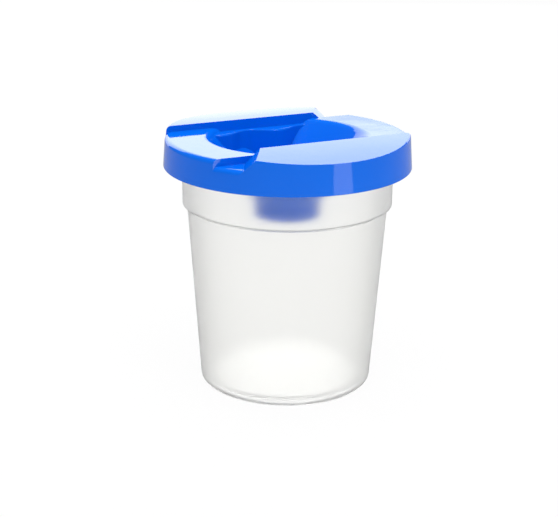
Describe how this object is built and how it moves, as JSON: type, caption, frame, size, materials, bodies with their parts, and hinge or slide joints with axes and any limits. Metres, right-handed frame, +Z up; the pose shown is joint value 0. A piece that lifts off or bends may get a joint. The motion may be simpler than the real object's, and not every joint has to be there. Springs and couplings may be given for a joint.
{
  "type": "brush washer with lid",
  "caption": "Tapered translucent pot with a push-on lid whose funnel stops spills and whose channel rests a paint brush.",
  "frame": {"origin": "middle of the pot's foot, on the table", "axes": "+Z up through the lid, +X along the brush channel across the lid"},
  "size_m": [0.085, 0.085, 0.0895],
  "materials": {
    "milky_plastic": "translucent milky polypropylene, semi-gloss",
    "blue_plastic": "glossy opaque blue polypropylene"
  },
  "bodies": {
    "cup": {"cup": "milky_plastic"},
    "lid": {"lid": "blue_plastic"}
  },
  "joints": [
    {"name": "lid_lift", "type": "slide", "parent": "cup", "child": "lid", "axis": [0, 0, 1], "range_m": [0, 0.04]}
  ]
}
